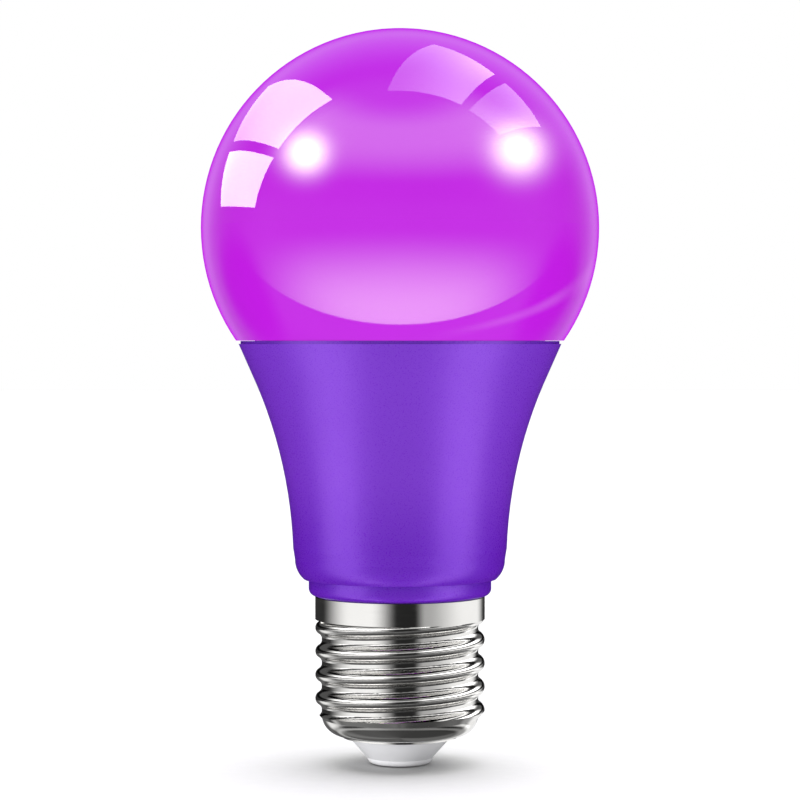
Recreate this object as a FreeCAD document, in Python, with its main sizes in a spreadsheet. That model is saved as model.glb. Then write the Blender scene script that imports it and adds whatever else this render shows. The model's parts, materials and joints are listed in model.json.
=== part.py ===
"""A screw-base smart light bulb: tinted globe, flared housing, LED engine, driver, radio board, Edison cap.

Millimetres, +Z up along the bulb's axis, origin at the middle of the centre contact's face.
The camera side of the driver, where its tall components stand, is -Y.
"""

import FreeCAD, Part  # FreeCAD comes first
import Sketcher

import math
import os
import re

# Each driving dimension: alias, millimetres (or a plain count), what it is.
DIMENSIONS = [
    ("globe_radius", 30.7, "globe, outer radius of its sphere"),
    ("globe_wall", 1.4, "globe, wall"),
    ("globe_rise", 17.4, "height of the sphere's centre over the seam"),
    ("seam_z", 65.3, "underside of the globe's rim"),
    ("rim_floor", 1.3, "globe, wall over its rim"),
    ("rim_gap", 0.5, "shadow gap between globe and housing"),
    ("spigot_radius", 22.4, "globe spigot, outer radius"),
    ("spigot_wall", 1.2, "globe spigot, wall"),
    ("spigot_end_z", 62.7, "globe spigot, lower end"),
    ("lip_radius", 24.6, "housing lip inside the shadow gap"),
    ("lip_fit", 0.05, "gap between that lip and the globe's rim"),
    ("mouth_radius", 24.9, "housing, widest radius"),
    ("mouth_bore", 22.55, "housing, bore that takes the spigot"),
    ("ledge_z", 61.9, "housing, ledge under the spigot"),
    ("flare_top_radius", 23.0, "housing, top of the curved flare"),
    ("flare_top_z", 60.5, "same, height"),
    ("flare_low_radius", 16.5, "housing, foot of the curved flare"),
    ("flare_low_z", 33.3, "same, height"),
    ("flare_curve", 71.0, "housing, radius of the flare's curve"),
    ("skirt_radius", 16.22, "housing, straight foot above the rounded corner"),
    ("skirt_z", 31.6, "same, height"),
    ("skirt_corner", 3.9, "housing, radius of the rounded lower corner"),
    ("skirt_low_radius", 14.9, "housing, where that corner meets its underside"),
    ("neck_radius", 14.1, "housing, neck ring"),
    ("neck_top_z", 28.6, "neck ring, upper end"),
    ("neck_low_z", 26.0, "neck ring, lower end"),
    ("neck_round", 1.1, "neck ring, rounded lower edge"),
    ("housing_wall", 1.5, "housing, wall"),
    ("floor_z", 30.2, "housing, inner floor"),
    ("floor_radius", 14.3, "housing, inner floor"),
    ("stub_bore", 10.0, "housing, bore of the threaded stub"),
    ("stub_end_z", 9.5, "threaded stub, lower end"),
    ("stub_gap", 0.1, "clearance between stub and shell"),
    ("stub_lead", 1.6, "height of the stub's tapered end"),
    ("stub_relief", 0.2, "how far that end stays under the root"),
    ("crest_radius", 13.1, "Edison thread, crest radius of the shell"),
    ("root_radius", 12.05, "Edison thread, root radius of the shell"),
    ("thread_pitch", 3.629, "Edison thread, seven turns to the inch"),
    ("thread_turns", 6.35, "length of the helix in turns"),
    ("thread_start_z", 1.06, "height of the helix where it crosses +X"),
    ("thread_land", 0.02, "how far the ridge's foot stands over the root"),
    ("crest_relief", 0.02, "how far the crest stays under the collar"),
    ("sheet", 0.3, "shell, sheet thickness"),
    ("collar_low_z", 22.4, "shell collar, lower end"),
    ("collar_top_z", 25.85, "shell collar, upper end"),
    ("cap_low_z", 4.5, "shell, its flat lower end"),
    ("cap_flat_radius", 8.9, "shell, radius of the flat lower end"),
    ("cap_corner", 3.2, "shell, rounded lower corner"),
    ("cap_taper_z", 7.1, "where the last turn tapers out"),
    ("taper_slope", 1.1, "rise of that taper for each millimetre outwards"),
    ("trim_margin", 1.0, "how far the trimming outline stands outside the crest"),
    ("cap_hole", 8.05, "shell, hole for the insulator"),
    ("cap_bead", 0.3, "height of the bead round that hole"),
    ("bead_width", 0.85, "width of that bead"),
    ("nose_top_radius", 7.95, "insulator, cone where it leaves the shell"),
    ("nose_low_radius", 5.05, "insulator, foot of the cone"),
    ("nose_face_z", 0.12, "insulator, lower face"),
    ("nose_round", 0.9, "insulator, rounded foot"),
    ("nose_fit", 0.05, "gap between shell and insulator"),
    ("catch_reach", 1.5, "insulator, how far its catch inside reaches past the shell's flat end"),
    ("catch_rise", 1.1, "insulator, height over which the catch widens"),
    ("contact_radius", 3.4, "centre contact, head"),
    ("contact_head", 0.6, "centre contact, head thickness"),
    ("contact_shank", 1.0, "centre contact, shank radius"),
    ("contact_length", 7.4, "centre contact, whole length"),
    ("contact_edge", 0.25, "centre contact, rounded edge"),
    ("contact_fit", 0.03, "gap round the centre contact's shank"),
    ("pocket_fit", 0.08, "gap round the centre contact's head"),
    ("head_fit", 0.02, "gap over the centre contact's head"),
    ("cup_wall", 0.8, "heat sink cup, side wall"),
    ("cup_fit", 0.05, "gap between cup and housing"),
    ("cup_low_z", 38.0, "heat sink cup, lower edge"),
    ("cup_low_radius", 15.2, "heat sink cup, outer radius at that edge"),
    ("cup_high_radius", 21.35, "heat sink cup, outer radius under its flange"),
    ("cup_curve", 72.55, "heat sink cup, radius of its side's curve"),
    ("plate_low_z", 61.6, "heat sink cup, underside of its plate"),
    ("plate_top_z", 62.6, "heat sink cup, top of its plate"),
    ("flange_radius", 22.4, "heat sink cup, flange"),
    ("pad_thick", 0.3, "thermal pad"),
    ("pad_radius", 20.0, "thermal pad"),
    ("led_board_radius", 20.5, "LED board"),
    ("led_board_thick", 1.2, "LED board"),
    ("sealant_radius", 21.15, "sealant ring, outer radius"),
    ("sealant_gap", 0.1, "gap between sealant and LED board"),
    ("sealant_tall", 2.0, "sealant ring, height against the spigot"),
    ("sealant_foot", 0.8, "sealant ring, height at the board"),
    ("sealant_hollow", 1.6, "sealant ring, radius of its hollow slope"),
    ("led_ring", 15.5, "white LEDs, pitch circle radius"),
    ("led_wide", 2.8, "white LED package, width"),
    ("led_long", 3.5, "white LED package, length"),
    ("led_tall", 0.8, "white LED package, height"),
    ("color_ring", 9.2, "colour LEDs, pitch circle radius"),
    ("color_side", 5.0, "colour LED package, side"),
    ("color_tall", 1.4, "colour LED package, height"),
    ("well_radius", 1.9, "colour LED package, its round well"),
    ("well_deep", 0.25, "colour LED package, depth of the well"),
    ("screw_place", 12.0, "board screws, distance from the axis"),
    ("screw_radius", 1.25, "board screws, shank"),
    ("screw_length", 3.6, "board screws, shank length"),
    ("head_radius", 2.2, "board screws, head"),
    ("head_tall", 1.3, "board screws, head"),
    ("cross_long", 2.6, "board screws, length of the cross slots"),
    ("cross_wide", 0.5, "board screws, width of the cross slots"),
    ("cross_deep", 0.7, "board screws, depth of the cross slots"),
    ("screw_free", 0.1, "gap round a screw's shank"),
    ("radio_y", 4.6, "radio board, its middle plane"),
    ("radio_thick", 0.8, "radio board"),
    ("radio_half", 8.2, "radio board, half width"),
    ("radio_low_z", 40.0, "radio board, lower edge"),
    ("radio_top_z", 71.0, "radio board, upper edge"),
    ("slot_long", 17.4, "slot for the radio board"),
    ("slot_wide", 1.8, "slot for the radio board"),
    ("pin_y", -0.3, "LED pins, from the axis"),
    ("pin_pitch", 1.5, "LED pins, spacing"),
    ("pin_side", 0.5, "LED pins, square side"),
    ("pin_low_z", 54.5, "LED pins, lower end"),
    ("pin_top_z", 66.4, "LED pins, upper end"),
    ("pin_fit", 0.04, "LED pins, play in their plastic"),
    ("strip_side", 2.5, "pin strip, width and height"),
    ("strip_lift", 1.0, "pin strip, over the pins' lower ends"),
    ("socket_wide", 2.6, "LED socket, width"),
    ("socket_tall", 2.3, "LED socket, height"),
    ("window_long", 7.4, "window for the LED pins"),
    ("window_wide", 3.4, "window for the LED pins"),
    ("board_face_y", 1.0, "driver board, its component side"),
    ("board_thick", 1.2, "driver board"),
    ("board_low_z", 12.0, "driver board, lower edge"),
    ("board_step_z", 34.5, "driver board, where it widens"),
    ("board_top_z", 57.5, "driver board, upper edge"),
    ("tongue_half", 8.8, "driver board, half width in the stub"),
    ("board_half", 12.6, "driver board, half width in the housing"),
    ("board_slope", 2.0, "driver board, height of the slope where it widens"),
    ("input_radius", 4.9, "input capacitor"),
    ("input_tall", 15.5, "input capacitor"),
    ("input_y", -4.15, "input capacitor, its axis"),
    ("input_z", 13.2, "input capacitor, lower end"),
    ("output_radius", 4.0, "output capacitor"),
    ("output_tall", 11.5, "output capacitor"),
    ("output_x", 6.7, "output capacitor, its axis"),
    ("output_y", -3.4, "same"),
    ("output_z", 38.2, "output capacitor, lower end"),
    ("can_edge", 0.3, "capacitor cans, rounded lower edge"),
    ("can_round", 0.6, "capacitor cans, rounded top edge"),
    ("groove_z", 1.6, "capacitor cans, foot of the crimped groove"),
    ("groove_deep", 0.35, "capacitor cans, depth of the groove"),
    ("groove_slope", 0.3, "capacitor cans, height of the groove's flanks"),
    ("groove_tall", 1.0, "capacitor cans, whole height of the groove"),
    ("film_long", 10.0, "film capacitor, along X"),
    ("film_deep", 5.0, "film capacitor, along Y"),
    ("film_tall", 5.5, "film capacitor, height"),
    ("film_x", -3.2, "film capacitor, its middle"),
    ("film_z", 30.4, "film capacitor, underside"),
    ("film_stand", 0.1, "film capacitor, gap to the board"),
    ("varistor_radius", 3.2, "varistor disc"),
    ("varistor_thick", 3.0, "varistor disc"),
    ("varistor_x", 6.5, "varistor, its axis"),
    ("varistor_z", 34.2, "same, height"),
    ("varistor_stand", 0.4, "varistor, gap to the board"),
    ("fuse_radius", 1.6, "fuse resistor, end caps"),
    ("fuse_waist", 1.35, "fuse resistor, body between the caps"),
    ("fuse_cap", 2.0, "fuse resistor, length of a cap"),
    ("fuse_slope", 0.4, "fuse resistor, between cap and body"),
    ("fuse_tall", 9.0, "fuse resistor, whole length"),
    ("fuse_x", -7.2, "fuse resistor, its axis"),
    ("fuse_y", -1.3, "same"),
    ("fuse_z", 15.0, "fuse resistor, lower end"),
    ("core_wide", 10.2, "transformer core"),
    ("core_tall", 11.0, "transformer core"),
    ("core_deep", 5.0, "transformer core"),
    ("core_yoke", 2.2, "transformer core, its yokes"),
    ("core_side", 1.6, "transformer core, its outer limbs"),
    ("core_mid", 2.6, "transformer core, its middle limb"),
    ("core_x", -4.9, "transformer, its middle"),
    ("core_y", -4.2, "same"),
    ("core_z", 38.5, "transformer, underside"),
    ("bobbin_fit", 0.05, "gap between bobbin and core"),
    ("bobbin_wall", 0.6, "bobbin, wall of its tube"),
    ("bobbin_flange", 0.7, "bobbin, thickness of a flange"),
    ("flange_wide", 6.8, "bobbin flange, along X"),
    ("flange_deep", 9.4, "bobbin flange, along Y"),
    ("coil_gap", 0.05, "gap between winding and flanges"),
    ("coil_inset", 0.25, "winding, how far inside the flange's sides along X"),
    ("coil_recess", 0.4, "winding, how far inside the flange's ends along Y"),
    ("choke_radius", 3.6, "filter inductor"),
    ("choke_tall", 6.0, "filter inductor"),
    ("choke_x", 7.4, "filter inductor, its axis"),
    ("choke_z", 53.6, "same, height"),
    ("drum_flange", 1.0, "filter inductor, thickness of the drum's ends"),
    ("drum_waist", 1.4, "filter inductor, the drum's middle"),
    ("wire_recess", 0.4, "filter inductor, how far the wire stays inside the drum's ends"),
    ("wire_gap", 0.05, "filter inductor, gap between wire and drum"),
    ("leg_thick", 0.2, "chip legs, metal thickness"),
    ("leg_wide", 0.45, "chip legs, width"),
    ("leg_reach", 1.0, "chip legs, how far they stand out"),
    ("chip_thick", 0.85, "radio chip"),
    ("chip_side", 5.0, "radio chip"),
    ("chip_z", 50.0, "radio chip, lower edge"),
    ("crystal_x", -5.4, "crystal, its middle"),
    ("crystal_z", 51.0, "crystal, lower edge"),
    ("memory_z", 43.0, "flash memory, lower edge"),
    ("header_long", 12.4, "radio header, along X"),
    ("header_tall", 2.5, "radio header"),
    ("header_z", 42.0, "radio header, lower edge"),
    ("track_wide", 0.6, "antenna track, width"),
    ("track_pitch", 1.6, "antenna track, spacing of its legs"),
    ("track_thick", 0.07, "antenna track, copper thickness"),
    ("track_low_z", 66.2, "antenna track, lower end"),
    ("track_top_z", 70.4, "antenna track, upper end"),
    ("lead_radius", 0.25, "mains leads"),
    ("lead_bend", 1.8, "mains leads, bends"),
]

doc = FreeCAD.newDocument("smart_light_bulb")
sheet = doc.addObject("Spreadsheet::Sheet", "Dims")
for row, (alias, size, note) in enumerate(DIMENSIONS, start=1):
    sheet.set(f"A{row}", note)
    sheet.set(f"B{row}", str(size))
    sheet.setAlias(f"B{row}", alias)
doc.recompute()

ALIASES = {alias for alias, _, _ in DIMENSIONS}
subparts = {}


def full(expression):
    """The expression with each alias written as a cell of the sheet."""

    def cell(word):
        return f"Dims.{word[0]}" if word[0] in ALIASES else word[0]

    return re.sub(r"[a-z_]+", cell, str(expression))


def number(expression):
    """What an expression of the sheet's aliases comes to."""
    return float(sheet.evalExpression(full(expression)))


def bind(thing, **sizes):
    """Ties properties to expressions; a double underscore in a name stands for a dot."""
    for name, expression in sizes.items():
        thing.setExpression(name.replace("__", "."), full(expression))
    return thing


def place(thing, x=0, y=0, z=0):
    """Ties where a thing stands to expressions."""
    return bind(thing, Placement__Base__x=x, Placement__Base__y=y, Placement__Base__z=z)


def subpart(thing, label):
    """Registers a finished piece under the name that its file gets."""
    thing.Label = label
    subparts[label] = thing
    return thing


def arc_geometry(begin, end, radius):
    """The shorter arc from begin to end: anticlockwise, or clockwise for a negative radius."""
    chord = end - begin
    half = chord.Length / 2
    across = FreeCAD.Vector(-chord.y, chord.x, 0) * (1 / chord.Length)
    reach = math.sqrt(max(radius * radius - half * half, 0))
    centre = (begin + end) * 0.5 + across * math.copysign(reach, radius)
    circle = Part.Circle(centre, FreeCAD.Vector(0, 0, 1), abs(radius))
    first, last = (begin, end) if radius > 0 else (end, begin)
    angles = [math.atan2(p.y - centre.y, p.x - centre.x) for p in (first, last)]
    return Part.ArcOfCircle(circle, *angles)


def draw(sketch, corners):
    """Draws a closed outline. A corner is (x, y), or (x, y, radius) where an arc arrives at it."""
    points = [FreeCAD.Vector(number(corner[0]), number(corner[1]), 0) for corner in corners]
    ends = []
    for i, corner in enumerate(corners):
        begin, end = points[i - 1], points[i]
        if len(corner) == 2:
            edge = sketch.addGeometry(Part.LineSegment(begin, end))
            ends.append((edge, 1, 2))
        else:
            radius = number(corner[2])
            edge = sketch.addGeometry(arc_geometry(begin, end, radius))
            ends.append((edge, 1, 2) if radius > 0 else (edge, 2, 1))
            mark = sketch.addConstraint(Sketcher.Constraint("Radius", edge, abs(radius)))
            sketch.setExpression(f"Constraints[{mark}]", full(f"abs({corner[2]})"))
    for i, corner in enumerate(corners):
        edge, _, finish = ends[i]
        after, start, _ = ends[(i + 1) % len(ends)]
        sketch.addConstraint(Sketcher.Constraint("Coincident", edge, finish, after, start))
        for way, expression in zip(("DistanceX", "DistanceY"), corner):
            mark = sketch.addConstraint(Sketcher.Constraint(way, -1, 1, edge, finish, number(expression)))
            sketch.setExpression(f"Constraints[{mark}]", full(expression))
    return sketch


def new_body(name):
    return doc.addObject("PartDesign::Body", name)


def body_sketch(body, name, role, corners, lift=0):
    """A closed outline on one of the body's own origin planes, lifted along its normal."""
    sketch = body.newObject("Sketcher::SketchObject", name)
    plane = next(p for p in body.Origin.OriginFeatures if p.Role == role)
    sketch.AttachmentSupport = [(plane, "")]
    sketch.MapMode = "FlatFace"
    bind(sketch, AttachmentOffset__Base__z=lift)
    return draw(sketch, corners)


def turn(body, name, corners):
    """Revolves an outline of (radius, height) corners round the bulb's axis."""
    sketch = body_sketch(body, name + "_outline", "XZ_Plane", corners)
    feature = body.newObject("PartDesign::Revolution", name)
    feature.Profile = sketch
    feature.ReferenceAxis = (sketch, ["V_Axis"])
    feature.Angle = 360
    doc.recompute()
    return feature


def pad(body, name, corners, low, thick, role="XY_Plane"):
    """Raises an outline from low by thick along the plane's normal."""
    sketch = body_sketch(body, name + "_outline", role, corners, low)
    feature = body.newObject("PartDesign::Pad", name)
    feature.Profile = sketch
    bind(feature, Length=thick)
    doc.recompute()
    return feature


def pocket(body, name, corners, top):
    """Cuts an outline downwards through everything, from top."""
    sketch = body_sketch(body, name + "_outline", "XY_Plane", corners, top)
    return cut_down(body, name, sketch)


def cut_down(body, name, sketch):
    before = body.Shape.Volume
    feature = body.newObject("PartDesign::Pocket", name)
    feature.Profile = sketch
    feature.Type = "ThroughAll"
    doc.recompute()
    if feature.Shape.Volume > before - 1e-6:
        raise RuntimeError(f"{name} cuts nothing")
    return feature


def drill(body, name, places, radius, top):
    """Drills round through holes at places, downwards from top."""
    sketch = body.newObject("Sketcher::SketchObject", name + "_outline")
    plane = next(p for p in body.Origin.OriginFeatures if p.Role == "XY_Plane")
    sketch.AttachmentSupport = [(plane, "")]
    sketch.MapMode = "FlatFace"
    bind(sketch, AttachmentOffset__Base__z=top)
    for x, y in places:
        middle = FreeCAD.Vector(number(x), number(y), 0)
        circle = sketch.addGeometry(Part.Circle(middle, FreeCAD.Vector(0, 0, 1), number(radius)))
        marks = [
            (Sketcher.Constraint("Radius", circle, number(radius)), radius),
            (Sketcher.Constraint("DistanceX", -1, 1, circle, 3, middle.x), x),
            (Sketcher.Constraint("DistanceY", -1, 1, circle, 3, middle.y), y),
        ]
        for constraint, expression in marks:
            mark = sketch.addConstraint(constraint)
            sketch.setExpression(f"Constraints[{mark}]", full(expression))
    return cut_down(body, name, sketch)


def rectangle(x, y, long, wide):
    """Corners of an upright rectangle round (x, y)."""
    left, right = f"({x}) - ({long}) / 2", f"({x}) + ({long}) / 2"
    low, high = f"({y}) - ({wide}) / 2", f"({y}) + ({wide}) / 2"
    return [(left, low), (right, low), (right, high), (left, high)]


def block(name, long, wide, tall, x, y, z):
    """A box centred on (x, y) whose floor is at z."""
    box = doc.addObject("Part::Box", name)
    bind(box, Length=long, Width=wide, Height=tall)
    return place(box, f"({x}) - ({long}) / 2", f"({y}) - ({wide}) / 2", z)


def rod(name, radius, tall, x, y, z, along="z"):
    """A cylinder from (x, y, z) along an axis."""
    bar = doc.addObject("Part::Cylinder", name)
    turns = {"z": ((0, 0, 1), 0), "y": ((1, 0, 0), -90), "x": ((0, 1, 0), 90)}
    axis, angle = turns[along]
    bar.Placement = FreeCAD.Placement(FreeCAD.Vector(), FreeCAD.Rotation(FreeCAD.Vector(*axis), angle))
    bind(bar, Radius=radius, Height=tall)
    return place(bar, x, y, z)


def softened(name, base, size):
    """base with every straight edge rounded."""
    doc.recompute()
    fillet = doc.addObject("Part::Fillet", name)
    fillet.Base = base
    fillet.Edges = [(i + 1, size, size) for i in range(len(base.Shape.Edges))]
    return fillet


def joined(name, *pieces):
    fuse = doc.addObject("Part::MultiFuse", name)
    fuse.Shapes = list(pieces)
    return fuse


def cut(name, base, *tools):
    tool = tools[0] if len(tools) == 1 else joined(name + "_tools", *tools)
    result = doc.addObject("Part::Cut", name)
    result.Base = base
    result.Tool = tool
    return result


def common(name, *pieces):
    shared = doc.addObject("Part::MultiCommon", name)
    shared.Shapes = list(pieces)
    return shared


def group(name, *pieces):
    """Several separate solids kept as one piece."""
    compound = doc.addObject("Part::Compound", name)
    compound.Links = list(pieces)
    return compound


# ---------------------------------------------------------------- the Edison thread

DEPTH = "(crest_radius - root_radius - crest_relief)"
RIDGE = f"((thread_pitch ^ 2 / 4 + {DEPTH} ^ 2) / (4 * {DEPTH}))"


def thread_ridge(name, inset):
    """The rounded ridge, as wide as one pitch, swept along the helix; inset moves its surface inwards."""
    crest_arc, root_arc = f"({RIDGE} - ({inset}))", f"({RIDGE} + ({inset}))"
    root = f"(root_radius - ({inset}))"
    flank_x = f"{root} + {DEPTH} - {crest_arc} * {DEPTH} / (2 * {RIDGE})"
    flank_z = f"thread_pitch / 2 * {crest_arc} / (2 * {RIDGE})"
    foot_x = f"{root} + thread_land"
    foot_z = f"(thread_pitch / 2 - sqrt(2 * {root_arc} * thread_land - thread_land ^ 2))"
    deep_x = f"{root} - 0.2"
    section = doc.addObject("Sketcher::SketchObject", name + "_section")
    section.Placement = FreeCAD.Placement(FreeCAD.Vector(), FreeCAD.Rotation(FreeCAD.Vector(1, 0, 0), 90))
    bind(section, Placement__Base__z="thread_start_z")
    outline = [
        (flank_x, f"-({flank_z})", f"-{root_arc}"),
        (flank_x, flank_z, crest_arc),
        (foot_x, foot_z, f"-{root_arc}"),
        (deep_x, foot_z),
        (deep_x, f"-{foot_z}"),
        (foot_x, f"-{foot_z}"),
    ]
    draw(section, outline)
    helix = doc.addObject("Part::Helix", name + "_helix")
    bind(helix, Pitch="thread_pitch", Height="thread_pitch * thread_turns", Radius="root_radius")
    place(helix, z="thread_start_z")
    doc.recompute()
    sweep = doc.addObject("Part::Sweep", name)
    sweep.Sections = [section]
    sweep.Spine = (helix, [f"Edge{i + 1}" for i in range(len(helix.Shape.Edges))])
    sweep.Solid = True
    sweep.Frenet = True
    return sweep


def threaded_plug(name, inset, envelope, collar):
    """A solid thread, trimmed to an envelope that ends where the collar is put on."""
    core_radius = f"root_radius - ({inset}) + thread_land * 2"
    core = rod(name + "_core", core_radius, "collar_top_z + 8", "0", "0", "-4")
    thread = joined(name + "_thread", core, thread_ridge(name + "_ridge", inset))
    limits, crown = new_body(name + "_limits"), new_body(name + "_crown")
    turn(limits, name + "_envelope", envelope)
    turn(crown, name + "_collar", collar)
    return joined(name, common(name + "_trimmed", thread, limits), crown)


def cap_envelope(inset):
    """Outline that gives the cap its rounded lower corner and tapers the last turn out."""
    floor = f"cap_low_z + ({inset})"
    taper_radius = "(cap_flat_radius + sqrt(cap_corner ^ 2 - (cap_low_z + cap_corner - cap_taper_z) ^ 2))"
    taper_rise = f"cap_taper_z + ({inset}) + (crest_radius + trim_margin - {taper_radius}) * taper_slope"
    return [
        ("0", floor),
        ("cap_flat_radius", floor),
        (f"{taper_radius} - ({inset})", f"cap_taper_z + ({inset}) * 0.2", f"cap_corner - ({inset})"),
        ("crest_radius + trim_margin", taper_rise),
        ("crest_radius + trim_margin", "collar_low_z"),
        ("0", "collar_low_z"),
    ]


def collar_outline(inset, top):
    """The smooth collar over the thread, with a foot that reaches into the thread's core."""
    foot = f"root_radius - ({inset}) - 0.5"
    collar = f"crest_radius - ({inset})"
    return [
        ("0", "collar_low_z - 1"),
        (foot, "collar_low_z - 1"),
        (foot, "collar_low_z"),
        (collar, "collar_low_z"),
        (collar, top),
        ("0", top),
    ]


# ---------------------------------------------------------------- the shells


def make_screw_shell():
    """The cap: thin formed sheet with the same rounded thread inside and out, and a bead round its hole."""
    outside = threaded_plug("shell_outside", "0", cap_envelope("0"), collar_outline("0", "collar_top_z"))
    inner_collar = collar_outline("sheet", "collar_top_z + 1")
    inside = threaded_plug("shell_inside", "sheet", cap_envelope("sheet"), inner_collar)
    skin = cut("shell_skin", outside, inside)
    bead_tall = "cap_bead + sheet / 2"
    bead = rod("shell_bead", "cap_hole + bead_width", bead_tall, "0", "0", "cap_low_z - cap_bead")
    hole = rod("shell_hole", "cap_hole", "3", "0", "0", "cap_low_z - 1")
    subpart(cut("shell_cut", joined("shell_whole", skin, bead), hole), "screw_shell")


def make_housing():
    """The flared plastic housing with its neck ring and the threaded stub that the cap is screwed on."""
    flared = new_body("housing_flared")
    outline = [
        ("stub_bore", "neck_low_z"),
        ("neck_radius - neck_round", "neck_low_z"),
        ("neck_radius", "neck_low_z + neck_round", "neck_round"),
        ("neck_radius", "neck_top_z"),
        ("skirt_low_radius", "neck_top_z"),
        ("skirt_radius", "skirt_z", "skirt_corner"),
        ("flare_low_radius", "flare_low_z"),
        ("flare_top_radius", "flare_top_z", "-flare_curve"),
        ("mouth_radius", "seam_z - rim_gap"),
        ("lip_radius", "seam_z - rim_gap"),
        ("lip_radius", "seam_z - lip_fit"),
        ("mouth_bore", "seam_z - lip_fit"),
        ("mouth_bore", "ledge_z"),
        ("flare_top_radius - housing_wall - 0.1", "ledge_z"),
        ("flare_top_radius - housing_wall - 0.1", "flare_top_z"),
        ("flare_low_radius - housing_wall", "flare_low_z", "flare_curve + housing_wall"),
        ("floor_radius", "floor_z"),
        ("stub_bore", "floor_z - housing_wall"),
    ]
    turn(flared, "housing_turned", outline)
    inset = "sheet + stub_gap"
    stub = threaded_plug("stub", inset, stub_envelope(inset), collar_outline(inset, "neck_low_z + 0.5"))
    bore = rod("stub_hole", "stub_bore", "30", "0", "0", "stub_end_z - 5")
    hollow = cut("stub_hollow", stub, bore)
    subpart(joined("housing_joined", flared, hollow), "housing")


def stub_envelope(inset):
    """Outline of the stub's threaded length, with a tapered end."""
    return [
        ("0", "stub_end_z"),
        (f"root_radius - ({inset}) - stub_relief", "stub_end_z"),
        ("crest_radius", "stub_end_z + stub_lead"),
        ("crest_radius", "collar_low_z"),
        ("0", "collar_low_z"),
    ]


def make_globe():
    """The tinted globe: a sphere cut at its rim, with a spigot that drops into the housing."""
    centre_z = "(seam_z + globe_rise)"
    cut_radius = "sqrt(globe_radius ^ 2 - globe_rise ^ 2)"
    inner = "(globe_radius - globe_wall)"
    inner_radius = "(spigot_radius - spigot_wall)"
    outline = [
        ("spigot_radius", "spigot_end_z"),
        ("spigot_radius", "seam_z"),
        (cut_radius, "seam_z"),
        ("globe_radius", centre_z, "globe_radius"),
        ("0", f"{centre_z} + globe_radius", "globe_radius"),
        ("0", f"{centre_z} + {inner}"),
        (inner, centre_z, f"-{inner}"),
        (f"sqrt({inner} ^ 2 - (globe_rise - rim_floor) ^ 2)", "seam_z + rim_floor", f"-{inner}"),
        (inner_radius, "seam_z + rim_floor"),
        (inner_radius, "spigot_end_z"),
    ]
    globe = new_body("globe_body")
    turn(globe, "globe_turned", outline)
    subpart(globe, "globe")


def make_sealant():
    """Silicone bead that bonds the globe's spigot to the heat sink's flange."""
    bead = new_body("sealant_body")
    outline = [
        ("led_board_radius + sealant_gap", "plate_top_z"),
        ("sealant_radius", "plate_top_z"),
        ("sealant_radius", "plate_top_z + sealant_tall"),
        ("led_board_radius + sealant_gap", "plate_top_z + sealant_foot", "sealant_hollow"),
    ]
    turn(bead, "sealant_turned", outline)
    subpart(bead, "globe_sealant")


def make_insulator():
    """The plastic nose of the cap, flared inside the shell so that it can't be pulled out."""
    nose = new_body("insulator_body")
    bore = "contact_shank + contact_fit"
    pocket_radius = "contact_radius + pocket_fit"
    outline = [
        (bore, "contact_head + head_fit"),
        (pocket_radius, "contact_head + head_fit"),
        (pocket_radius, "nose_face_z"),
        ("nose_low_radius - nose_round", "nose_face_z"),
        ("nose_low_radius", "nose_face_z + nose_round", "nose_round"),
        ("nose_top_radius", "cap_low_z - cap_bead"),
        ("nose_top_radius", "cap_low_z + sheet + nose_fit"),
        ("cap_flat_radius + 0.1", "cap_low_z + sheet + nose_fit"),
        ("cap_flat_radius + catch_reach", "cap_low_z + sheet + catch_rise"),
        ("cap_flat_radius + catch_reach", "cap_taper_z"),
        (bore, "cap_taper_z"),
    ]
    turn(nose, "insulator_turned", outline)
    subpart(nose, "insulator")


def make_contact():
    """The centre contact: a nickel-plated nail driven up into the insulator."""
    nail = new_body("contact_body")
    outline = [
        ("0", "0"),
        ("contact_radius - contact_edge", "0"),
        ("contact_radius", "contact_edge", "contact_edge"),
        ("contact_radius", "contact_head"),
        ("contact_shank", "contact_head"),
        ("contact_shank", "contact_length"),
        ("0", "contact_length"),
    ]
    turn(nail, "contact_turned", outline)
    subpart(nail, "centre_contact")


# ---------------------------------------------------------------- the light engine

BOARD_Z = "(plate_top_z + pad_thick)"
LED_Z = f"({BOARD_Z} + led_board_thick)"
SCREW_PLACES = [("screw_place", "0"), ("-screw_place", "0")]
PIN_PLACES = [(f"pin_pitch * {step}", "pin_y") for step in (-1.5, -0.5, 0.5, 1.5)]


def make_heat_sink():
    """Spun aluminium cup: a plate under the LED board and a skirt against the housing."""
    cup = new_body("heat_sink_body")
    outline = [
        ("0", "plate_low_z"),
        ("cup_high_radius - cup_wall", "plate_low_z"),
        ("cup_high_radius - cup_wall", "flare_top_z"),
        ("cup_low_radius - cup_wall + cup_fit", "cup_low_z", "cup_curve"),
        ("cup_low_radius + cup_fit", "cup_low_z"),
        ("cup_high_radius", "flare_top_z", "-cup_curve + cup_wall"),
        ("cup_high_radius", "ledge_z"),
        ("flange_radius", "ledge_z"),
        ("flange_radius", "plate_top_z"),
        ("0", "plate_top_z"),
    ]
    turn(cup, "cup_turned", outline)
    drill(cup, "cup_holes", SCREW_PLACES, "screw_radius + screw_free", "plate_top_z")
    pocket(cup, "cup_slot", rectangle("0", "radio_y", "slot_long", "slot_wide"), "plate_top_z")
    pocket(cup, "cup_window", rectangle("0", "pin_y", "window_long", "window_wide"), "plate_top_z")
    subpart(cup, "heat_sink")


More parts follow.
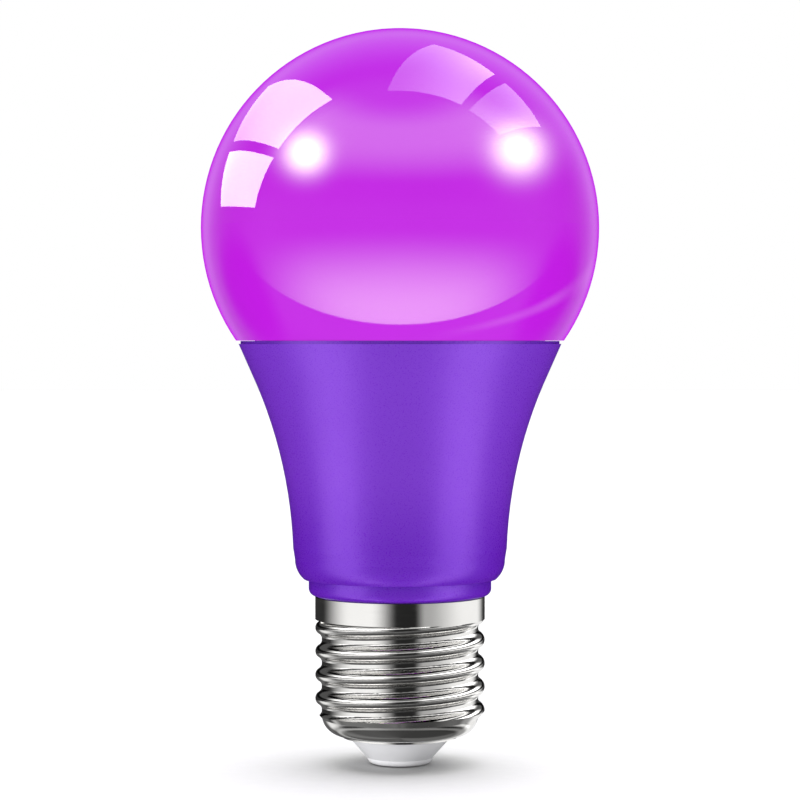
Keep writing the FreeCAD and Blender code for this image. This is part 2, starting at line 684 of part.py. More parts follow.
def make_disc(label, radius, low, thick, window_long, window_wide):
    """A round sheet with the openings that the screws, radio board and pins need."""
    disc = new_body(label + "_body")
    outline = [("0", low), (radius, low), (radius, f"{low} + {thick}"), ("0", f"{low} + {thick}")]
    turn(disc, label + "_turned", outline)
    top = f"{low} + {thick}"
    drill(disc, label + "_holes", SCREW_PLACES, "screw_radius + screw_free", top)
    pocket(disc, label + "_slot", rectangle("0", "radio_y", "slot_long", "slot_wide"), top)
    pocket(disc, label + "_window", rectangle("0", "pin_y", window_long, window_wide), top)
    subpart(disc, label)


def ring_of(label, piece, turns):
    """Copies of a piece at several angles round the axis, as separate solids in one node."""
    doc.recompute()
    copies = []
    for step, angle in enumerate(turns):
        link = doc.addObject("Part::Compound", f"{label}_{step}")
        link.Links = [piece]
        link.Placement = FreeCAD.Placement(FreeCAD.Vector(), FreeCAD.Rotation(FreeCAD.Vector(0, 0, 1), angle))
        copies.append(link)
    subpart(group(label + "_group", *copies), label)


def make_leds():
    """Fourteen white packages in a ring, and three four-colour ones inside it."""
    white = block("white_led_package", "led_wide", "led_long", "led_tall", "led_ring", "0", LED_Z)
    white_turns = [180 / 7 * step + 90 / 7 for step in range(14)]
    ring_of("white_leds", white, white_turns)
    body = block("color_led_package", "color_side", "color_side", "color_tall", "color_ring", "0", LED_Z)
    well = rod("color_led_well", "well_radius", "1", "color_ring", "0", f"{LED_Z} + color_tall - well_deep")
    ring_of("color_leds", cut("color_led_cut", body, well), (90, 210, 330))


def make_board_screws():
    """Two pan-head screws that clamp the LED board to the heat sink."""
    screws = []
    cross = (("cross_long", "cross_wide"), ("cross_wide", "cross_long"))
    cross_z = f"{LED_Z} + head_tall - cross_deep"
    shank_z = f"{LED_Z} - screw_length"
    for side, (x, y) in enumerate(SCREW_PLACES):
        shank = rod(f"screw_shank_{side}", "screw_radius", "screw_length + 0.1", x, y, shank_z)
        head = rod(f"screw_head_{side}", "head_radius", "head_tall", x, y, LED_Z)
        slots = []
        for way, (long, wide) in enumerate(cross):
            slots.append(block(f"screw_slot_{side}_{way}", long, wide, "head_tall", x, y, cross_z))
        screws.append(cut(f"screw_{side}", joined(f"screw_solid_{side}", shank, head), *slots))
    subpart(group("screw_group", *screws), "board_screws")


def pin_holder(label, wide, tall, z):
    """A plastic strip with a hole for each LED pin."""
    solid = block(label + "_solid", "pin_pitch * 4 + 1", wide, tall, "0", "pin_y", z)
    gap = "pin_side + pin_fit"
    holes = []
    for step, (x, y) in enumerate(PIN_PLACES):
        holes.append(block(f"{label}_hole_{step}", gap, gap, f"({tall}) * 3", x, y, f"{z} - ({tall})"))
    subpart(cut(label + "_cut", solid, *holes), label)


def make_led_connector():
    """Pins from the driver board, the plastic strip that holds them and the socket on the LED board."""
    long = "pin_top_z - pin_low_z"
    pins = []
    for step, (x, y) in enumerate(PIN_PLACES):
        pins.append(block(f"led_pin_{step}", "pin_side", "pin_side", long, x, y, "pin_low_z"))
    subpart(group("led_pin_group", *pins), "led_pins")
    pin_holder("pin_strip", "strip_side", "strip_side", "pin_low_z + strip_lift")
    pin_holder("led_socket", "socket_wide", "socket_tall", LED_Z)


# ---------------------------------------------------------------- the driver

BACK_Y = "(board_face_y + board_thick)"


def make_driver_board():
    """Stepped circuit board: its narrow tongue stands in the stub."""
    board = new_body("driver_board_body")
    outline = [
        ("-tongue_half", "board_low_z"),
        ("tongue_half", "board_low_z"),
        ("tongue_half", "board_step_z"),
        ("board_half", "board_step_z + board_slope"),
        ("board_half", "board_top_z"),
        ("-board_half", "board_top_z"),
        ("-board_half", "board_step_z + board_slope"),
        ("-tongue_half", "board_step_z"),
    ]
    pad(board, "driver_board_pad", outline, f"-{BACK_Y}", "board_thick", "XZ_Plane")
    subpart(board, "driver_board")


def make_can(label, radius, tall, x, y, z):
    """An electrolytic capacitor: crimped can with a rounded top and a groove over its bung."""
    can = new_body(label + "_body")
    outline = [
        ("0", "0"),
        (f"{radius} - can_edge", "0"),
        (radius, "can_edge", "can_edge"),
        (radius, "groove_z"),
        (f"{radius} - groove_deep", "groove_z + groove_slope"),
        (f"{radius} - groove_deep", "groove_z + groove_tall - groove_slope"),
        (radius, "groove_z + groove_tall"),
        (radius, f"{tall} - can_round"),
        (f"{radius} - can_round", tall, "can_round"),
        ("0", tall),
    ]
    turn(can, label + "_turned", outline)
    subpart(place(can, x, y, z), label)


def make_transformer():
    """Two E halves of ferrite round a bobbin that carries the winding."""
    middle = ("core_x", "core_y")
    through = "core_deep * 2"
    inner_tall = "(core_tall - 2 * core_yoke)"
    window = "(core_wide / 2 - core_side - core_mid / 2)"
    yoke = block("core_solid", "core_wide", "core_deep", "core_tall", *middle, "core_z")
    windows = []
    for side, sign in (("left", "-"), ("right", "+")):
        shift = f"core_x {sign} (core_mid + {window}) / 2"
        lift = "core_z + core_yoke"
        windows.append(block(f"core_window_{side}", window, through, inner_tall, shift, "core_y", lift))
    subpart(cut("core_cut", yoke, *windows), "transformer_core")
    low = "(core_z + core_yoke + bobbin_fit)"
    high = "(core_z + core_tall - core_yoke - bobbin_fit - bobbin_flange)"
    tube = "(core_mid + 2 * bobbin_fit + 2 * bobbin_wall)"
    tube_deep = "(core_deep + 2 * bobbin_fit + 2 * bobbin_wall)"
    tube_tall = f"{inner_tall} - 4 * bobbin_fit"
    pieces = [
        block("bobbin_low", "flange_wide", "flange_deep", "bobbin_flange", *middle, low),
        block("bobbin_high", "flange_wide", "flange_deep", "bobbin_flange", *middle, high),
        block("bobbin_tube", tube, tube_deep, tube_tall, *middle, f"{low} + bobbin_fit"),
    ]
    limb_wide, limb_deep = "core_mid + 2 * bobbin_fit", "core_deep + 2 * bobbin_fit"
    limb = block("bobbin_hole", limb_wide, limb_deep, "core_tall", *middle, "core_z")
    subpart(cut("bobbin_cut", joined("bobbin_solid", *pieces), limb), "transformer_bobbin")
    coil_size = ("flange_wide - 2 * coil_inset", "flange_deep - 2 * coil_recess")
    coil_tall = f"{high} - {low} - bobbin_flange - 2 * coil_gap"
    coil = block("coil_solid", *coil_size, coil_tall, *middle, f"{low} + bobbin_flange + coil_gap")
    hole = block("coil_hole", f"{tube} + coil_gap", f"{tube_deep} + coil_gap", "core_tall", *middle, "core_z")
    subpart(cut("coil_cut", coil, hole), "transformer_winding")


def make_filter_inductor():
    """Drum core with its winding, lying with its axis across the board."""
    far, near = "(board_face_y - choke_tall)", "(board_face_y - drum_flange)"
    ends = [
        rod("drum_far", "choke_radius", "drum_flange", "choke_x", far, "choke_z", "y"),
        rod("drum_near", "choke_radius", "drum_flange", "choke_x", near, "choke_z", "y"),
    ]
    half = f"{far} + drum_flange / 2"
    middle = rod("drum_middle", "drum_waist", "choke_tall - drum_flange", "choke_x", half, "choke_z", "y")
    subpart(joined("drum_joined", *ends, middle), "inductor_core")
    wire_tall = "choke_tall - 2 * drum_flange - 2 * wire_gap"
    start = f"{far} + drum_flange + wire_gap"
    wound = rod("wound_outer", "choke_radius - wire_recess", wire_tall, "choke_x", start, "choke_z", "y")
    bore = rod("wound_bore", "drum_waist + wire_gap", "choke_tall", "choke_x", far, "choke_z", "y")
    subpart(cut("wound_cut", wound, bore), "inductor_winding")


def make_front_parts():
    """The tall parts on the component side."""
    make_can("input_capacitor", "input_radius", "input_tall", "0", "input_y", "input_z")
    make_can("output_capacitor", "output_radius", "output_tall", "output_x", "output_y", "output_z")
    film_y = "board_face_y - film_stand - film_deep / 2"
    film = block("film_block", "film_long", "film_deep", "film_tall", "film_x", film_y, "film_z")
    subpart(softened("film_soft", film, 0.5), "film_capacitor")
    disc_y = "board_face_y - varistor_stand - varistor_thick"
    disc = rod("varistor_disc", "varistor_radius", "varistor_thick", "varistor_x", disc_y, "varistor_z", "y")
    subpart(softened("varistor_soft", disc, 0.7), "varistor")
    resistor = new_body("fuse_resistor_body")
    outline = [
        ("0", "0"),
        ("fuse_radius", "0"),
        ("fuse_radius", "fuse_cap"),
        ("fuse_waist", "fuse_cap + fuse_slope"),
        ("fuse_waist", "fuse_tall - fuse_cap - fuse_slope"),
        ("fuse_radius", "fuse_tall - fuse_cap"),
        ("fuse_radius", "fuse_tall"),
        ("0", "fuse_tall"),
    ]
    turn(resistor, "fuse_resistor_turned", outline)
    subpart(place(resistor, "fuse_x", "fuse_y", "fuse_z"), "fuse_resistor")


def gull_legs(name, size, x, z, count):
    """Metal legs on both sides of a flat part: straight out, down to the board, and a foot on it."""
    wide, tall, thick = size
    half = f"({thick}) / 2"
    drop = f"{half} + leg_thick / 2"
    legs = []
    for side, sign in (("left", "-"), ("right", "+")):
        face = f"({x}) {sign} ({wide}) / 2"
        for step in range(count):
            key = f"{name}_{side}_{step}"
            low = f"({z}) + ({tall}) * {(step + 0.5) / count} - leg_wide / 2"
            out = f"{face} {sign} leg_reach / 4"
            bend = f"{face} {sign} (leg_reach - leg_thick) / 2"
            toe = f"{face} {sign} (leg_reach * 3 / 4 - leg_thick / 2)"
            shoulder_y, drop_y = f"{BACK_Y} + {half}", f"{BACK_Y} + ({drop}) / 2"
            shoulder = block(key + "_out", "leg_reach / 2", "leg_thick", "leg_wide", out, shoulder_y, low)
            shin = block(key + "_shin", "leg_thick", drop, "leg_wide", bend, drop_y, low)
            foot_long, foot_y = "leg_reach / 2 + leg_thick", f"{BACK_Y} + leg_thick / 2"
            foot = block(key + "_foot", foot_long, "leg_thick", "leg_wide", toe, foot_y, low)
            legs.append(joined(key, shoulder, shin, foot))
    return legs


def chips(label, size, places):
    """Flat parts soldered to the back of the driver board: size is (width, height, thickness)."""
    wide, tall, thick = size
    parts = []
    for step, (x, z) in enumerate(places):
        parts.append(block(f"{label}_{step}", wide, thick, tall, x, f"{BACK_Y} + {thick} / 2", z))
    subpart(group(label + "_group", *parts) if len(parts) > 1 else parts[0], label)


def make_back_parts():
    """The flat parts on the back of the driver board."""
    rectifier, rectifier_place = ("4.7", "4.0", "2.3"), ("-2.6", "19")
    switcher, switcher_place = ("3.9", "4.9", "1.5"), ("-5.4", "33.2")
    resistors = [("5", "15"), ("5", "18"), ("5", "21"), ("0", "31"), ("5", "27")]
    capacitors = [("-5.5", "15"), ("-5.5", "27"), ("-2", "27"), ("1.5", "35.5")]
    chips("bridge_rectifier", rectifier, [rectifier_place])
    chips("driver_ic", switcher, [switcher_place])
    legs = gull_legs("rectifier_leg", rectifier, *rectifier_place, 2)
    legs += gull_legs("switcher_leg", switcher, *switcher_place, 4)
    subpart(group("chip_leg_group", *legs), "chip_legs")
    chips("output_diode", ("4.3", "2.6", "1.6"), [("5.6", "34.4")])
    chips("chip_resistors", ("3.2", "1.6", "0.55"), resistors)
    chips("chip_capacitors", ("2.0", "1.25", "0.9"), capacitors)


# ---------------------------------------------------------------- the radio board

RADIO_BACK = "(radio_y + radio_thick / 2)"


def radio_part(label, wide, thick, tall, x, z):
    """A flat part soldered to the radio board's far side."""
    subpart(block(label + "_block", wide, thick, tall, x, f"{RADIO_BACK} + ({thick}) / 2", z), label)


def make_radio():
    """The radio board: it stands up through the LED board so that its antenna is inside the globe."""
    tall = "radio_top_z - radio_low_z"
    board = block("radio_board_block", "radio_half * 2", "radio_thick", tall, "0", "radio_y", "radio_low_z")
    subpart(board, "radio_board")
    deep = f"(radio_y - radio_thick / 2 - {BACK_Y})"
    middle = f"({BACK_Y} + {deep} / 2)"
    header = block("radio_header_block", "header_long", deep, "header_tall", "0", middle, "header_z")
    subpart(header, "radio_header")
    radio_part("radio_chip", "chip_side", "chip_thick", "chip_side", "0", "chip_z")
    radio_part("radio_crystal", "3.2", "0.7", "2.5", "crystal_x", "crystal_z")
    radio_part("flash_memory", "5", "1.6", "4.2", "0", "memory_z")
    make_antenna()


def make_antenna():
    """Meandering copper track along the top of the radio board."""
    legs = 9
    y = f"{RADIO_BACK} + track_thick / 2"
    tracks = []
    for leg in range(legs):
        x = f"({leg - (legs - 1) / 2}) * track_pitch"
        long = "track_top_z - track_low_z"
        tracks.append(block(f"track_{leg}", "track_wide", "track_thick", long, x, y, "track_low_z"))
        if leg < legs - 1:
            level = "track_low_z" if leg % 2 == 0 else "track_top_z - track_wide"
            across = f"{x} + track_pitch / 2"
            tracks.append(block(f"turn_{leg}", "track_pitch", "track_thick", "track_wide", across, y, level))
    subpart(joined("antenna_track", *tracks), "antenna")


# ---------------------------------------------------------------- the mains leads


def make_lead(label, points):
    """A round wire along an open path, with its bends as tangent arcs."""
    points = [FreeCAD.Vector(*point) for point in points]
    radius, bend = number("lead_radius"), number("lead_bend")
    edges, start = [], points[0]
    for before, corner, after in zip(points, points[1:], points[2:]):
        arrive, leave = (before - corner).normalize(), (after - corner).normalize()
        half = arrive.getAngle(leave) / 2
        back = bend / math.tan(half)
        first, last = corner + arrive * back, corner + leave * back
        middle = corner + (arrive + leave).normalize() * (bend / math.sin(half) - bend)
        edges.append(Part.LineSegment(start, first).toShape())
        edges.append(Part.Arc(first, middle, last).toShape())
        start = last
    edges.append(Part.LineSegment(start, points[-1]).toShape())
    path = Part.Wire(edges)
    section = Part.Wire(Part.makeCircle(radius, points[0], points[1] - points[0]))
    lead = doc.addObject("Part::Feature", label + "_wire")
    lead.Shape = path.makePipeShell([section], True, True)
    share = lead.Shape.Volume / (math.pi * radius**2 * path.Length)
    print(f"{label}: bends {bend} mm, volume is {share:.3f} of section times length")
    subpart(lead, label)


def make_leads():
    """Live from the nail's tip and neutral from the shell's wall, both soldered to the tongue's lower end."""
    low, tip = number("board_low_z"), number("contact_length")
    front = number("board_face_y - lead_radius")
    back = number(f"{BACK_Y} + lead_radius")
    wall = number("root_radius")
    live = [
        (0, 0, tip),
        (0, 0, tip + 1.9),
        (-2.6, front, low - 0.9),
        (-2.6, front, low + 2.5),
    ]
    neutral = [
        (wall + 0.1, 1, low - 3.8),
        (wall - 3.6, back, low - 3.1),
        (6.6, back, low - 1),
        (6.6, back, low + 2.2),
    ]
    make_lead("live_lead", live)
    make_lead("neutral_lead", neutral)


def write_parts():
    """Checks every object, then writes each piece to its own file."""
    doc.recompute()
    for thing in doc.Objects:
        if "Invalid" in thing.State or "Error" in thing.State:
            raise RuntimeError(f"{thing.Label} failed: {thing.State}")
    for label, thing in subparts.items():
        shape = thing.Shape
        if shape.isNull() or not shape.isValid() or not shape.Solids:
            raise RuntimeError(f"{label} has no valid solid")
        print(f"{label:20s} {len(shape.Solids):3d} solids {shape.Volume:10.2f} mm3")
    os.makedirs("parts", exist_ok=True)
    for label, thing in subparts.items():
        thing.Shape.exportStep(f"parts/{label}.step")


make_globe()
make_sealant()
make_housing()
make_screw_shell()
make_insulator()
make_contact()
make_heat_sink()
make_disc("thermal_pad", "pad_radius", "plate_top_z", "pad_thick", "window_long", "window_wide")
make_disc("led_board", "led_board_radius", BOARD_Z, "led_board_thick", "pin_pitch * 4", "pin_side * 2")
make_leds()
make_board_screws()
make_led_connector()
make_driver_board()
make_front_parts()
make_transformer()
make_filter_inductor()
make_back_parts()
make_radio()
make_leads()
write_parts()
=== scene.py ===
"""Looks for the screw-base smart bulb: tinted glossy globe, satin housing, nickel-plated cap, white nose."""

import json
import math

import bpy
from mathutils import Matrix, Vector


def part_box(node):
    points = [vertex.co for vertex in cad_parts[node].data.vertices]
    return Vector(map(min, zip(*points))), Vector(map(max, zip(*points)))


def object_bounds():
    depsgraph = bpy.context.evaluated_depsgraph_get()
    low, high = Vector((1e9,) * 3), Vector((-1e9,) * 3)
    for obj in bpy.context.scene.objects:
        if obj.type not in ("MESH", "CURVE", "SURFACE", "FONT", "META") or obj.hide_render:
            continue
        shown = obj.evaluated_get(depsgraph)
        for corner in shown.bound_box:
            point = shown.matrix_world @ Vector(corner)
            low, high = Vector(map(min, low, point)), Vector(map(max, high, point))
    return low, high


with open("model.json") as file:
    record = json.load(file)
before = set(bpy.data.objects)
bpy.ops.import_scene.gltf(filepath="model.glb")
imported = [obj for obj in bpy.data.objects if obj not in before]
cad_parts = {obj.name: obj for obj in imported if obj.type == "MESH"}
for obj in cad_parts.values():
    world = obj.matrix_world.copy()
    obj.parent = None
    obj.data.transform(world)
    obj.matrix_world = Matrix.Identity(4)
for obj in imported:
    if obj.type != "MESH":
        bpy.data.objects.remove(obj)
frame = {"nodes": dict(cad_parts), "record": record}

CAD_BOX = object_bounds()

# ---------------------------------------------------------------- places, in metres

GLOBE_LOW, GLOBE_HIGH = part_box("globe")
GLOBE_RADIUS = (GLOBE_HIGH[0] - GLOBE_LOW[0]) / 2
GLOBE_CENTRE = Vector((0, 0, GLOBE_HIGH[2] - GLOBE_RADIUS))
SEAM_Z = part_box("housing")[1][2]
SHELL_TOP_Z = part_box("screw_shell")[1][2]
SHELL_CENTRE = Vector((0, 0, SHELL_TOP_Z / 2))
EYE_DISTANCE = 0.410
EYE = Vector((0, -EYE_DISTANCE, SEAM_Z))
WINDOW_DISTANCE = 0.9
WINDOW_REACH = 0.065

# ---------------------------------------------------------------- shader helpers


def new_material(name):
    """A material with its Principled shader, ready for more nodes."""
    material = bpy.data.materials.new(name)
    material.use_nodes = True
    return material, material.node_tree, material.node_tree.nodes["Principled BSDF"]


def node(tree, kind, inputs=None, **settings):
    """Adds a node, sets its properties, then its inputs: a value or the socket that feeds it."""
    made = tree.nodes.new(kind)
    for name, value in settings.items():
        setattr(made, name, value)
    for name, value in (inputs or {}).items():
        if isinstance(value, bpy.types.NodeSocket):
            tree.links.new(value, made.inputs[name])
        else:
            made.inputs[name].default_value = value
    return made


def math_node(tree, operation, *values):
    return node(tree, "ShaderNodeMath", dict(enumerate(values)), operation=operation).outputs[0]


def vector_node(tree, operation, *values, output="Vector"):
    return node(tree, "ShaderNodeVectorMath", dict(enumerate(values)), operation=operation).outputs[output]


def parts_of(tree, vector):
    """The three sockets X, Y and Z of a vector."""
    return node(tree, "ShaderNodeSeparateXYZ", {"Vector": vector}).outputs


def joined(tree, x, y, z):
    return node(tree, "ShaderNodeCombineXYZ", {"X": x, "Y": y, "Z": z}).outputs["Vector"]


def object_place(tree):
    """A point's place in the object's own frame, in metres."""
    return node(tree, "ShaderNodeTexCoord").outputs["Object"]


def product(tree, *factors):
    result = factors[0]
    for factor in factors[1:]:
        result = math_node(tree, "MULTIPLY", result, factor)
    return result


def total(tree, *terms):
    result = terms[0]
    for term in terms[1:]:
        result = math_node(tree, "ADD", result, term)
    return result


def distance_from(tree, value, middle):
    """How far a value is from a middle one, either way."""
    return math_node(tree, "ABSOLUTE", math_node(tree, "SUBTRACT", value, middle))


def ramp(tree, value, low, high, start, end):
    """Value from low..high mapped smoothly to start..end."""
    inputs = {"Value": value, "From Min": low, "From Max": high, "To Min": start, "To Max": end}
    return node(tree, "ShaderNodeMapRange", inputs, interpolation_type="SMOOTHSTEP").outputs["Result"]


def noise(tree, scale, detail=4.0, coordinates=None):
    """Noise over the object's own frame, or over other coordinates, in cells to the metre."""
    if coordinates is None:
        coordinates = object_place(tree)
    inputs = {"Vector": coordinates, "Scale": scale, "Detail": detail}
    return node(tree, "ShaderNodeTexNoise", inputs).outputs["Fac"]


def lathe_coordinates(tree, drift=0.0006):
    """Coordinates that change along the bulb's axis and outwards, and hardly round it, as lathe marks do."""
    place = parts_of(tree, object_place(tree))
    around = math_node(tree, "ARCTAN2", place["Y"], place["X"])
    squared = math_node(tree, "MULTIPLY", place["X"], place["X"])
    squared = math_node(tree, "MULTIPLY_ADD", place["Y"], place["Y"], squared)
    return joined(tree, math_node(tree, "SQRT", squared), product(tree, around, drift), place["Z"])


def mixed(tree, amount, first, second):
    """Colour between first and second, each given as three numbers or as a socket."""
    ends = {6: first, 7: second}
    inputs = {at: end if isinstance(end, bpy.types.NodeSocket) else (*end, 1) for at, end in ends.items()}
    return node(tree, "ShaderNodeMix", {0: amount, **inputs}, data_type="RGBA").outputs[2]


def height_of(tree):
    """Height in the bulb's own frame."""
    return parts_of(tree, object_place(tree))["Z"]


def bump(tree, shader, height, distance):
    made = node(tree, "ShaderNodeBump", {"Height": height, "Distance": distance, "Strength": 1.0})
    tree.links.new(made.outputs["Normal"], shader.inputs["Normal"])


def darker(color, share):
    return tuple(channel * share for channel in color)


def moulded(name, color, rough, grain=2500, depth=4e-6, shade=0.88):
    """Moulded or coated surface: a fine grain, slow shifts of tone and an uneven sheen."""
    material, tree, shader = new_material(name)
    tree.links.new(mixed(tree, noise(tree, 90, 3), darker(color, shade), color), shader.inputs["Base Color"])
    sheen = ramp(tree, noise(tree, 400), 0.3, 0.7, rough * 0.85, min(rough * 1.15, 1))
    tree.links.new(sheen, shader.inputs["Roughness"])
    bump(tree, shader, noise(tree, grain, 6), depth)
    return material


def turned_metal(name, color, rough, lines=9000, depth=1.5e-6):
    """Plated or spun metal with fine marks round the axis and duller patches."""
    material, tree, shader = new_material(name)
    shader.inputs["Metallic"].default_value = 1.0
    coordinates = lathe_coordinates(tree)
    marks = noise(tree, lines, 3, coordinates)
    patches = noise(tree, 260, 5)
    tree.links.new(mixed(tree, patches, darker(color, 0.9), color), shader.inputs["Base Color"])
    lined = ramp(tree, marks, 0.25, 0.75, 0.6, 1.4)
    dulled = ramp(tree, patches, 0.35, 0.75, 0.8, 1.35)
    tree.links.new(product(tree, lined, dulled, rough), shader.inputs["Roughness"])
    bump(tree, shader, marks, depth)
    return material


# ---------------------------------------------------------------- the outside's materials


def tinted_globe():
    """Glossy purple polycarbonate: a clear skin over a tinted, faintly cloudy wall, with painted light that
    makes it lighter towards the top.

    The skin's gloss fades at a grazing angle, which keeps white reflections off most of the outline."""
    material, tree, shader = new_material("tinted_globe")
    wall = mixed(tree, noise(tree, 70, 3), (0.512, 0.0090, 0.725), (0.530, 0.0106, 0.750))
    # Painted light: the wall's colour turns lighter and bluer from the globe's middle up to its top.
    rise = ramp(tree, height_of(tree), GLOBE_CENTRE.z, GLOBE_HIGH[2], 0.0, 1.0)
    tree.links.new(mixed(tree, rise, wall, (0.560, 0.0110, 0.840)), shader.inputs["Base Color"])
    tree.links.new(ramp(tree, noise(tree, 300), 0.3, 0.7, 0.30, 0.38), shader.inputs["Roughness"])
    bump(tree, shader, noise(tree, 45, 2), 1e-5)
    shader.inputs["Specular IOR Level"].default_value = 0.0
    facing = node(tree, "ShaderNodeLayerWeight", {"Blend": 0.5}).outputs["Facing"]
    tree.links.new(ramp(tree, facing, 0.72, 0.93, 1.0, 0.04), shader.inputs["Coat Weight"])
    shader.inputs["Coat Roughness"].default_value = 0.015
    shader.inputs["Coat IOR"].default_value = 1.5
    return material


def satin_housing():
    """Spark-textured violet plastic, with painted shade that darkens its lower end, just above the cap."""
    painted_shade_full_z = SHELL_TOP_Z + 0.005
    painted_shade_end_z = SHELL_TOP_Z + 0.020
    material, tree, shader = new_material("satin_housing")
    shifts = noise(tree, 60, 4)
    # Painted shade: low is the darker violet near the cap, high the violet above, blended by height.
    low = mixed(tree, shifts, (0.114, 0.0012, 0.466), (0.124, 0.0020, 0.490))
    high = mixed(tree, shifts, (0.158, 0.0175, 0.535), (0.168, 0.0200, 0.556))
    rise = ramp(tree, height_of(tree), painted_shade_full_z, painted_shade_end_z, 0.0, 1.0)
    tree.links.new(mixed(tree, rise, low, high), shader.inputs["Base Color"])
    texture = noise(tree, 5200, 5)
    tree.links.new(ramp(tree, texture, 0.3, 0.7, 0.26, 0.34), shader.inputs["Roughness"])
    bump(tree, shader, texture, 6e-6)
    shader.inputs["Specular IOR Level"].default_value = 0.5
    return material


def make_materials():
    """One material for each of the record's slots."""
    return {
        "globe_tint": tinted_globe(),
        "housing_plastic": satin_housing(),
        "nickel_plate": turned_metal("nickel_plate", (0.86, 0.85, 0.83), 0.10, 2500, 2e-7),
        "contact_metal": turned_metal("contact_metal", (0.66, 0.63, 0.58), 0.24),
        "spun_aluminium": turned_metal("spun_aluminium", (0.80, 0.81, 0.83), 0.32, 5000, 3e-6),
        "screw_steel": turned_metal("screw_steel", (0.62, 0.63, 0.65), 0.28),
        "plated_pins": turned_metal("plated_pins", (0.83, 0.62, 0.25), 0.25),
        "copper": turned_metal("copper", (0.80, 0.36, 0.18), 0.28),
        "tinned_wire": turned_metal("tinned_wire", (0.72, 0.72, 0.71), 0.30),
        "white_plastic": moulded("white_plastic", (0.80, 0.80, 0.82), 0.32, 1800, 3e-6, 0.95),
        "white_package": moulded("white_package", (0.84, 0.84, 0.80), 0.28),
        "thermal_silicone": moulded("thermal_silicone", (0.42, 0.45, 0.50), 0.75, 1400, 2e-5),
        "clear_silicone": moulded("clear_silicone", (0.78, 0.78, 0.76), 0.35, 300, 6e-5),
        "white_board": moulded("white_board", (0.85, 0.85, 0.82), 0.42, 900, 5e-6),
        "phosphor": moulded("phosphor", (0.90, 0.66, 0.10), 0.40, 3000, 1e-5),
        "black_plastic": moulded("black_plastic", (0.020, 0.020, 0.022), 0.50, 4000, 8e-6, 0.7),
        "driver_laminate": moulded("driver_laminate", (0.05, 0.22, 0.07), 0.38, 1500, 8e-6, 0.75),
        "radio_laminate": moulded("radio_laminate", (0.02, 0.05, 0.22), 0.35, 1500, 8e-6, 0.75),
        "capacitor_sleeve": moulded("capacitor_sleeve", (0.02, 0.025, 0.06), 0.22, 700, 6e-6, 0.7),
        "yellow_case": moulded("yellow_case", (0.86, 0.50, 0.03), 0.28),
        "blue_coat": moulded("blue_coat", (0.03, 0.12, 0.52), 0.25, 500, 2e-5, 0.8),
        "resistor_coat": moulded("resistor_coat", (0.24, 0.38, 0.27), 0.55, 1500, 2e-5, 0.8),
        "ferrite": moulded("ferrite", (0.045, 0.045, 0.05), 0.62, 2600, 2e-5, 0.7),
        "winding_tape": moulded("winding_tape", (0.80, 0.42, 0.04), 0.25, 600, 1e-5, 0.85),
        "chip_ceramic": moulded("chip_ceramic", (0.42, 0.30, 0.18), 0.5, 3000, 8e-6, 0.8),
        "resistor_film": moulded("resistor_film", (0.02, 0.02, 0.025), 0.35, 3000, 8e-6, 0.7),
    }


def dress_nodes():
    """Gives every CAD node its slot's material. The cap mirrors the studio, and not the housing."""
    materials = make_materials()
    slots = {part["node"]: part["material_slot"] for part in frame["record"]["subparts"]}
    for name, thing in frame["nodes"].items():
        for place in thing.material_slots:
            place.material = materials[slots[name]]
    frame["nodes"]["housing"].visible_glossy = False


# ---------------------------------------------------------------- the studio


def direction(azimuth, elevation):
    """Unit vector to a place round the bulb: azimuth 0 is in front, positive to the right."""
    turn, lift = math.radians(azimuth), math.radians(elevation)
    return Vector((math.sin(turn) * math.cos(lift), -math.cos(turn) * math.cos(lift), math.sin(lift)))


def collection_of(name, things):
    made = bpy.data.collections.new(name)
    for thing in things:
        made.objects.link(thing)
    return made


def lights_only(thing, receivers, blockers=None):
    """Keeps a light's light to its receivers. With blockers given, nothing else casts its shadows."""
    thing.light_linking.receiver_collection = collection_of(thing.name + "_lights", receivers)
    if blockers:
        thing.light_linking.blocker_collection = collection_of(thing.name + "_shadows", blockers)


def make_world():
    """Even white light from all sides. Glossy surfaces mirror the reflector tents instead."""
    world = bpy.data.worlds.new("studio")
    bpy.context.scene.world = world
    world.use_nodes = True
    tree = world.node_tree
    tree.nodes.clear()
    paths = node(tree, "ShaderNodeLightPath")
    level = ramp(tree, paths.outputs["Is Glossy Ray"], 0, 1, 1.0, 0.0)
    light = node(tree, "ShaderNodeBackground", {"Color": (1, 1, 1, 1), "Strength": level}).outputs[0]
    node(tree, "ShaderNodeOutputWorld", {"Surface": light})


def clear_glow(name):
    """A light-giving material that rays pass through: (material, tree, emission shader)."""
    material = bpy.data.materials.new(name)
    material.use_nodes = True
    tree = material.node_tree
    tree.nodes.clear()
    glow = node(tree, "ShaderNodeEmission", {"Color": (1, 1, 1, 1)})
    clear = node(tree, "ShaderNodeBsdfTransparent")
    both = node(tree, "ShaderNodeAddShader", {0: glow.outputs[0], 1: clear.outputs[0]}).outputs[0]
    node(tree, "ShaderNodeOutputMaterial", {"Surface": both})
    return material, tree, glow


def reflector(name, points, faces, material, receivers, falloff=None, centre=GLOBE_CENTRE):
    """A reflector that shows only in the gloss of its receivers. Its points are seen from centre."""
    mesh = bpy.data.meshes.new(name)
    mesh.from_pydata([tuple(point) for point in points], [], faces)
    if falloff:
        mesh.attributes.new("falloff", "FLOAT", "POINT").data.foreach_set("value", falloff)
    mesh.materials.append(material)
    made = bpy.data.objects.new(name, mesh)
    made.location = centre
    bpy.context.scene.collection.objects.link(made)
    made.visible_camera = made.visible_diffuse = made.visible_transmission = made.visible_shadow = False
    lights_only(made, [frame["nodes"][receiver] for receiver in receivers])
    return made


